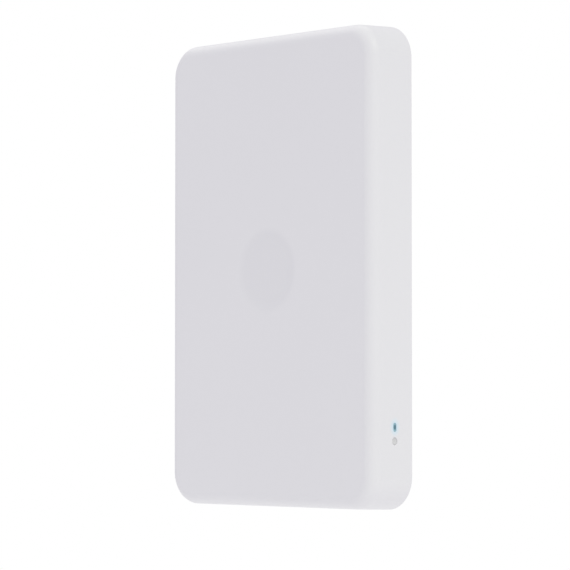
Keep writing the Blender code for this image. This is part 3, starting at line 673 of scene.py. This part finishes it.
def cut_emblem(cover):
    """The plain round dish, whose edge falls smoothly from the flat front to its floor."""
    steps = 8
    slope = [i / steps for i in range(steps + 1)]
    dish = [(EMBLEM_R, FRONT_Y - 1.0)]
    dish += [(EMBLEM_R - EMBLEM_SLOPE * t, FRONT_Y + EMBLEM_DEPTH * t * t * (3 - 2 * t)) for t in slope]
    cut(cover, lathe(dish, 96))


def cut_notch(cover, x, size, beyond):
    """A notch in the bottom wall that opens towards the wall. size is width, depth and corner radius."""
    width, depth, radius = size
    bottom = COVER_LOW.z
    place = (x, (-depth + NOTCH_REACH) / 2)
    shape = (width, depth + NOTCH_REACH, radius)
    cut(cover, cutter(shape, bottom, bottom + WALL + beyond, 0.3, 0.2, centre=place, axis="Z"))


def build_front_cover():
    """One moulding with its bosses, the round dish, and the openings in its side and bottom."""
    cover = cover_shell()
    add_bosses(cover)
    cut_emblem(cover)
    side = side_x(LENS.y)
    outside, inside = side + 0.05, side - 4.0
    cut(cover, cutter(LENS_SLOT, outside, inside, 0.18, centre=(LENS.y, LENS.z), axis="X"))
    cut(cover, round_hole(KEY_HOLE_R, outside, inside, 0.4, (KEY.y, KEY.z), "X", 40))
    cut_notch(cover, 0.0, CABLE_NOTCH, 0.25)
    cut_notch(cover, LATCH_X, RELEASE_NOTCH, 0.2)
    finish_piece(cover, "access_point", "white_shell", "front_cover")


# ---------------------------------------------------------------- rear cover


def hook_places():
    """(x, z) of each hook, with z at the top of its leg."""
    return [(x, z) for z in HOOK_Z for x in (-HOOK_X, HOOK_X)]


def hook_room(z):
    """Lowest and highest Z of a hook's room, which takes the hook over its whole travel."""
    return z - HOOK_TRAVEL - ROOM_BELOW, z + HOOK_RISE + ROOM_ABOVE


def build_rear_cover():
    """A plate with the bracket's pocket, the network plug's recess and both channels."""
    inset = (BODY_W - (BACK_HIGH.x - BACK_LOW.x)) / 2
    levels = [(BACK_Y - along, inset + across) for along, across in arc(0.35)]
    levels.append((BACK_Y - BACK_T, inset))
    cover = new_object("rear_shell", loft([body_loop(y, across) for y, across in levels]))
    middle, tall = span(*POCKET_Z)
    join(cover, rounded_slab((PLATE_W + 8, tall + 4, 11.0), -1.6, POCKET_INNER_Y, 0.3, (0, middle)))
    well_z, well_h = span(*RECESS_Z)
    well = (RECESS_W + 2 * RECESS_WALL, well_h + 2 * RECESS_WALL, 2.0)
    join(cover, rounded_slab(well, -2.2, RECESS_Y - RECESS_WALL, 0.4, (0, well_z)))
    channel_z, channel_h = span(CHANNEL_WALL_Z, CHANNEL_TOP)
    channel = (CHANNEL_W + 2 * RECESS_WALL, channel_h, 1.0)
    join(cover, rounded_slab(channel, -2.0, CHANNEL_Y - 1.2, 0.3, (0, channel_z)))
    join(cover, backing_walls())
    cut(cover, cutter((PLATE_W + 4, tall, 9.0), BACK_Y, POCKET_Y, 0.3, floor=0.2, centre=(0, middle),
                      steps=14))
    cut(cover, cutter((RECESS_W, well_h, 1.2), POCKET_Y, RECESS_Y, 0.5, floor=0.8, centre=(0, well_z)))
    cut_channels(cover)
    cut_windows(cover)
    cut_small_features(cover)
    finish_piece(cover, "access_point", "rear_plastic", "rear_cover")


def backing_walls():
    """Walls behind the hook rooms, the screw seats and the latch's channel."""
    backs = bmesh.new()
    for x, z in hook_places():
        foot, head = hook_room(z)
        middle, tall = span(foot - ROOM_WALL, head + ROOM_WALL)
        rounded_slab((HOOK_WINDOW_W + 2 * ROOM_WALL, tall, 1.2), -3.0,
                     POCKET_INNER_Y - HOOK_ROOM - 1.0, 0.3, (x, middle), steps=4, mesh_of=backs)
    for screw in HOUSING_SCREWS:
        lathe([(4.2, -2.0), (4.2, -3.9), (4.0, -4.1)], 28, axis_mm(screw), mesh_of=backs)
    middle, tall = span(CHANNEL_WALL_Z, LATCH_WALL_TOP)
    rounded_slab((14.0, tall, 1.0), -2.2, LATCH_BACK_Y, 0.2, (LATCH_X, middle), steps=4, mesh_of=backs)
    return backs


def cut_channels(cover):
    """The cable channel and the latch's channel, both open at the bottom edge."""
    middle, tall = span(CHANNEL_OPEN_Z, CHANNEL_TOP)
    cut(cover, cutter((CHANNEL_W, tall, 0.8), BACK_Y, CHANNEL_Y, 0.3, floor=0.6, centre=(0, middle)))
    middle, tall = span(CHANNEL_OPEN_Z, LEAF_HIGH.z + 2.0)
    cut(cover, cutter((LATCH_CHANNEL_W, tall, 0.8), BACK_Y, LATCH_CHANNEL_Y, 0.25, floor=0.2,
                      centre=(LATCH_X, middle)))


def cut_windows(cover):
    """The jack's opening, the hook windows with the room behind them, and the latch's catch."""
    jack_low, jack_high = box_mm("rj45_shield")
    wide = jack_high.x - jack_low.x + 0.5
    mouth = RECESS_Z[1]
    floor_y = RECESS_Y + 0.05
    tall = JACK_REAR_Y - floor_y
    cut(cover, cutter((wide, tall, 0.4), mouth, mouth + RECESS_WALL, 0.25, 0.1,
                      centre=(0.0, floor_y + tall / 2), axis="Z", steps=4))
    rooms = bmesh.new()
    for x, z in hook_places():
        middle, tall = span(*hook_room(z))
        rounded_slab((HOOK_WINDOW_W, tall, 0.5), POCKET_INNER_Y, POCKET_INNER_Y - HOOK_ROOM, 0.05,
                     (x, middle), steps=3, mesh_of=rooms)
    cut(cover, rooms)
    windows = bmesh.new()
    for x, z in hook_places():
        middle, tall = span(hook_room(z)[0], z + 0.2)
        cutter((HOOK_WINDOW_W, tall, 0.6), POCKET_Y, POCKET_INNER_Y - 1.0, 0.25, centre=(x, middle),
               steps=4, mesh_of=windows)
    cutter(CATCH_SIZE, LATCH_CHANNEL_Y, LATCH_BACK_Y, 0.15, 0.15, centre=(LATCH_X, CATCH_Z), steps=3,
           mesh_of=windows)
    cut(cover, windows)


def cut_small_features(cover):
    """Seats and clearance holes of the screws, seats of the rubber pads, and the cooling slots."""
    small = bmesh.new()
    for screw in HOUSING_SCREWS:
        round_hole(SCREW_SEAT_R, BACK_Y, -2.5, 0.3, axis_mm(screw), segments=36, mesh_of=small)
    for pad in PADS:
        round_hole(PAD_SEAT_R, BACK_Y, -1.5, 0.2, axis_mm(pad), segments=40, mesh_of=small)
    for i in range(VENT_COUNT):
        x = VENT_PITCH * (i - (VENT_COUNT - 1) / 2)
        rows = VENT_Z[:1] if VENT_GAP_X[0] <= x <= VENT_GAP_X[1] else VENT_Z
        for z in rows:
            cutter(VENT_SIZE, BACK_Y, BACK_Y - BACK_T, 0.35, 0.2, centre=(x, z), mesh_of=small)
    cut(cover, small)
    shanks = bmesh.new()
    for screw in HOUSING_SCREWS:
        lathe([(CLEAR_R, -2.0), (CLEAR_R, -5.0)], 24, axis_mm(screw), mesh_of=shanks)
    cut(cover, shanks)


# ---------------------------------------------------------------- wall bracket


def build_bracket():
    """The pressed sheet: plate, bent hooks, then the openings."""
    plate = new_object("bracket_plate", rounded_slab((PLATE_W, PLATE_H, 8.0), 0.0, -SHEET, 0.3, steps=12))
    hooks = bmesh.new()
    foot_y = HOOK_FOOT_Y - SHEET / 2
    for x, z in hook_places():
        leg_z = z - SHEET / 2
        path = bend(((-SHEET + 0.6, leg_z), (foot_y, leg_z), (foot_y, z + HOOK_RISE)), 0.95)
        extrude_x(ribbon(path, SHEET), x - HOOK_W / 2, x + HOOK_W / 2, 0.2, hooks)
    join(plate, hooks)
    cut(plate, bracket_openings())
    finish_piece(plate, "wall_mount", "zinc_steel", "wall_bracket")


def bracket_openings():
    """The openings the hooks are bent from, screw slots, holes and the cable window."""
    holes = bmesh.new()
    for x, z in hook_places():
        cutter((HOOK_W + 1.0, 6.0, 1.0), 0.0, -SHEET, 0.2, 0.2, centre=(x, z - SHEET - 3.3),
               mesh_of=holes)
    narrow, long = BOX_SLOT
    round_end = narrow / 2 - 0.01
    for sign in (-1, 1):
        gang = (0.0, BOX_CENTRE_Z + sign * GANG_PITCH / 2)
        cutter((narrow, long, round_end), 0.0, -SHEET, 0.2, 0.25, centre=gang, steps=10, mesh_of=holes)
        side = (sign * ROUND_BOX_PITCH / 2, BOX_CENTRE_Z)
        cutter((long, narrow, round_end), 0.0, -SHEET, 0.2, 0.25, centre=side, steps=10, mesh_of=holes)
    for at in ANCHORS:
        cutter((narrow, narrow, round_end), 0.0, -SHEET, 0.2, 0.25, centre=at, steps=8, mesh_of=holes)
    for rivet in RIVETS:
        cutter(RIVET_HOLE, 0.0, -SHEET, 0.15, 0.15, centre=axis_mm(rivet), mesh_of=holes)
    middle, tall = span(*WINDOW_Z)
    cutter((WINDOW_W, tall, 4.0), 0.0, -SHEET, 0.3, 0.3, centre=(0, middle), steps=10, mesh_of=holes)
    return holes


def build_latch():
    """The spring leaf, bent into a nose that the rear cover's catch rests on."""
    near = LEAF_HIGH.y - LATCH_T / 2
    corners = (
        (near, LEAF_HIGH.z),
        (near, CATCH_Z + 2.4),
        (LEAF_LOW.y + 0.25, CATCH_Z - 1.5),
        (near, CATCH_Z - 1.9),
        (near, LEAF_LOW.z),
    )
    strip = ribbon(bend(corners, 0.35, 5), LATCH_T)
    half = LATCH_W / 2
    leaf = new_object("latch_strip", extrude_x(strip, LATCH_X - half, LATCH_X + half, 0.1))
    holes = bmesh.new()
    for rivet in RIVETS:
        cutter(RIVET_HOLE, near + 0.2, near - 0.2, 0.05, 0.05, centre=axis_mm(rivet), mesh_of=holes)
    cut(leaf, holes)
    finish_piece(leaf, "wall_mount", "spring_steel", "latch_leaf")


def build_rivets():
    """Solid rivets with a domed head towards the unit."""
    for rivet in RIVETS:
        low, high = box_mm(rivet)
        rise = 0.7
        head = low.y + rise
        profile = [(1.0, high.y), (1.25, high.y - 0.15), (1.25, head), (RIVET_HEAD_R, head)]
        for i in range(1, 6):
            angle = math.radians(15 * i)
            profile.append((RIVET_HEAD_R * math.cos(angle), head - rise * math.sin(angle)))
        profile.append((0.2, low.y))
        piece = new_object(f"{rivet}_turned", lathe(profile, 32, axis_mm(rivet)))
        finish_piece(piece, "wall_mount", "spring_steel", rivet)


# ---------------------------------------------------------------- small pieces


def build_screws():
    """Cross-head screws with a domed head and a rolled thread, one for each CAD screw."""
    for name in HOUSING_SCREWS + BOARD_SCREWS:
        low, high = box_mm(name)
        x, z = axis_mm(name)
        head = high.y - (1.3 if name in HOUSING_SCREWS else 1.4)
        profile = [(0.3, low.y), (0.9, low.y + 1.0)]
        turns = int((head - low.y - 3.0) / SCREW_PITCH)
        for i in range(turns):
            y = low.y + 1.2 + SCREW_PITCH * i
            profile += [(0.82, y), (1.0, y + 0.2)]
        brim = 0.15
        profile += [(0.95, head - 0.4), (1.0, head), (2.45, head), (SCREW_HEAD_R, head + brim)]
        dome = high.y - head - brim
        for i in range(1, 9):
            angle = math.radians(10 * i)
            radius = SCREW_HEAD_R * math.cos(angle) ** 0.7
            profile.append((radius, head + brim + dome * math.sin(angle)))
        profile.append((0.15, high.y))
        screw = new_object(f"{name}_turned", lathe(profile, 40, (x, z)))
        cut(screw, cross_recess(x, z, high.y))
        finish_piece(screw, "access_point", "screw_steel", name)


def cross_recess(x, z, top):
    """The tool for a cross recess: two wings that narrow towards the bottom."""
    tool = bmesh.new()
    long, narrow, depth = 2.7, 0.62, 0.85
    for wide, tall in ((narrow, long), (long, narrow)):
        levels = ((top + 0.5, 1.0), (top, 1.0), (top - depth, 0.35))
        loft([[(x + u * keep, y, z + v * keep) for u, v in outline(wide, tall, 0.2, 3)]
              for y, keep in levels], tool)
    return tool


def build_pads():
    """Round rubber pads with a rounded rim and a shallow dish in the face that meets the wall."""
    rim = 0.45
    for name in PADS:
        low, high = box_mm(name)
        profile = [(3.7, low.y), (PAD_R, low.y + 0.2), (PAD_R, high.y - rim)]
        for i in range(1, 6):
            angle = math.radians(18 * i)
            across = rim * (1 - math.cos(angle))
            profile.append((PAD_R - across, high.y - rim + rim * math.sin(angle)))
        profile += [(2.6, high.y), (2.2, high.y - 0.12)]
        pad = new_object(f"{name}_moulded", lathe(profile, 48, axis_mm(name)))
        finish_piece(pad, "access_point", "rubber", name)


def build_indicator():
    """The light pipe: a pill that shows in the side's slot, on a wider flange inside the wall."""
    low, high = box_mm("light_pipe")
    inner = side_x(LENS.y, WALL) - 0.15
    shape = outline(*LENS_SIZE, 0.699, 8)
    dome = [(low.x, 1.0), (high.x - 0.12, 1.0), (high.x - 0.04, 0.93), (high.x, 0.75)]
    loops = [[(x, LENS.y + u * keep, LENS.z + v * keep) for u, v in shape] for x, keep in dome]
    pipe = new_object("indicator_lens", loft(loops))
    join(pipe, rounded_slab((2.6, 4.5, 1.29), low.x + 2.7, inner, 0.15, (LENS.y, LENS.z), "X"))
    finish_piece(pipe, "access_point", "indicator_blue", "light_pipe")


def build_reset_key():
    """The reset key: a stem, a collar inside the wall and a cap with a slightly dished face."""
    low, high = box_mm("reset_button")
    inner = side_x(KEY.y, WALL)
    stem, collar = KEY_STEM_R, KEY_COLLAR_R
    profile = [(0.5, low.x), (stem, low.x + 0.1), (stem, inner - 1.4), (2.1, inner - 1.4)]
    profile += [(collar, inner - 1.3), (collar, inner - 0.4), (2.1, inner - 0.3), (KEY_R, inner - 0.3)]
    profile += [(KEY_R, high.x - 0.15), (KEY_R - 0.04, high.x - 0.04), (KEY_R - 0.14, high.x)]
    profile += [(1.0, high.x - 0.05), (0.6, high.x - 0.11), (0.1, high.x - 0.14)]
    key = new_object("reset_cap", lathe(profile, 40, (KEY.y, KEY.z), "X"))
    finish_piece(key, "reset_key", "key_plastic", "reset_button")


def dress_cad_nodes():
    """The CAD nodes whose shape stays get the procedural finish of their slot."""
    slots = {part["node"]: part["material_slot"] for part in frame["record"]["subparts"]}
    for name, node in frame["nodes"].items():
        node.data.materials.clear()
        node.data.materials.append(LOOKS[slots[name]])


# ---------------------------------------------------------------- studio


AIM = Vector((-6.16, -7.39, -5.66)) * MM
CAMERA_AZIMUTH = 48.5  # degrees round the object from the front, towards its right side
CAMERA_PITCH = 2.29  # degrees upwards
CAMERA_DISTANCE = 1.2836  # metres from AIM
CAMERA_LENS = 190.0
FLOOR_Z = -0.45  # metres, well below the object
FLOOR_HALF = 3500.0
TENT_COLOUR = (0.956, 0.940, 1.0, 1.0)
TENT_STRENGTH = 0.7035


def add_camera():
    """A long lens that looks slightly upwards at the front and the right side."""
    turn, tilt = math.radians(CAMERA_AZIMUTH), math.radians(CAMERA_PITCH)
    view = Vector((-math.sin(turn) * math.cos(tilt), math.cos(turn) * math.cos(tilt), math.sin(tilt)))
    data = bpy.data.cameras.new("camera")
    data.sensor_width = 36.0
    data.lens = CAMERA_LENS
    camera = bpy.data.objects.new("camera", data)
    camera.location = AIM - view * CAMERA_DISTANCE
    camera.rotation_euler = view.to_track_quat("-Z", "Y").to_euler()
    bpy.context.scene.collection.objects.link(camera)
    bpy.context.scene.camera = camera


def add_world():
    """A white studio tent: pure white to the camera, a little dimmer as light."""
    world = bpy.data.worlds.new("studio")
    bpy.context.scene.world = world
    world.use_nodes = True
    nodes, links = world.node_tree.nodes, world.node_tree.links
    tent = nodes["Background"]
    tent.inputs["Color"].default_value = TENT_COLOUR
    tent.inputs["Strength"].default_value = TENT_STRENGTH
    seen = nodes.new("ShaderNodeBackground")
    seen.inputs["Color"].default_value = (1.0, 1.0, 1.0, 1.0)
    seen.inputs["Strength"].default_value = 1.0
    rays = nodes.new("ShaderNodeLightPath")
    mix = nodes.new("ShaderNodeMixShader")
    links.new(rays.outputs["Is Camera Ray"], mix.inputs["Fac"])
    links.new(tent.outputs["Background"], mix.inputs[1])
    links.new(seen.outputs["Background"], mix.inputs[2])
    links.new(mix.outputs["Shader"], nodes["World Output"].inputs["Surface"])


def add_sun(name, direction, strength, spread_deg, colour):
    """A soft sun that shines from the given direction."""
    data = bpy.data.lights.new(name, "SUN")
    data.energy = strength
    data.angle = math.radians(spread_deg)
    data.color = colour
    sun = bpy.data.objects.new(name, data)
    sun.rotation_euler = (-Vector(direction)).to_track_quat("-Z", "Y").to_euler()
    bpy.context.scene.collection.objects.link(sun)


def add_floor():
    """A wide white floor that bounces light onto the undersides."""
    mesh_of = bmesh.new()
    bmesh.ops.create_grid(mesh_of, x_segments=1, y_segments=1, size=FLOOR_HALF)
    floor = new_object("floor", mesh_of)
    floor.location.z = FLOOR_Z
    look, _, _, shader = shader_of("floor_white", 0.9)
    shader.inputs["Base Color"].default_value = (0.96, 0.96, 0.96, 1.0)
    floor.data.materials.append(look)


bpy.context.scene.view_settings.view_transform = "Standard"
add_camera()
add_world()
add_sun("key_light", (0.725, -0.192, 0.661), 0.827, 40, (0.93, 0.98, 0.78))
add_sun("top_light", (-0.479, 0.0, 0.878), 0.618, 60, (1.0, 1.0, 0.92))
add_floor()
dress_cad_nodes()
build_front_cover()
build_rear_cover()
build_bracket()
build_latch()
build_rivets()
build_screws()
build_pads()
build_indicator()
build_reset_key()
